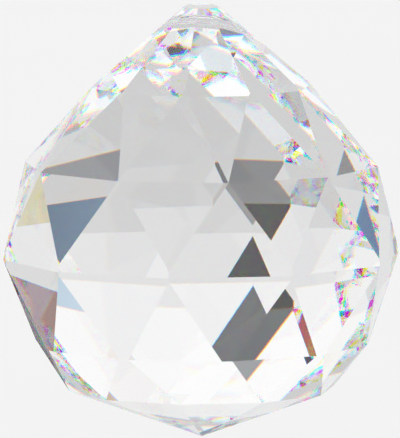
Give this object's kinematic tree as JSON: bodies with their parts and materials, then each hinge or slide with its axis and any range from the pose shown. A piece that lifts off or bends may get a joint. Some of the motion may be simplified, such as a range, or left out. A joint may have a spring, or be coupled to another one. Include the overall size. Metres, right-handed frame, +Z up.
{
  "type": "faceted crystal ball suncatcher",
  "caption": "Solid clear faceted crystal ball prism with a tapered tip and a cross-drilled hanging hole, for scattering sunlight into spectral colours.",
  "frame": {"origin": "middle of the hanging hole, on the ball's upright axis", "axes": "+Z up along the ball's axis from the point towards the tip, +X along the hanging hole"},
  "size_m": [0.038, 0.04, 0.0435],
  "materials": {
    "crystal": "clear polished crystal glass with flat facets and crisp edges, and a fine-ground hanging hole"
  },
  "bodies": {
    "root": {"crystal_ball": "crystal"}
  },
  "joints": []
}
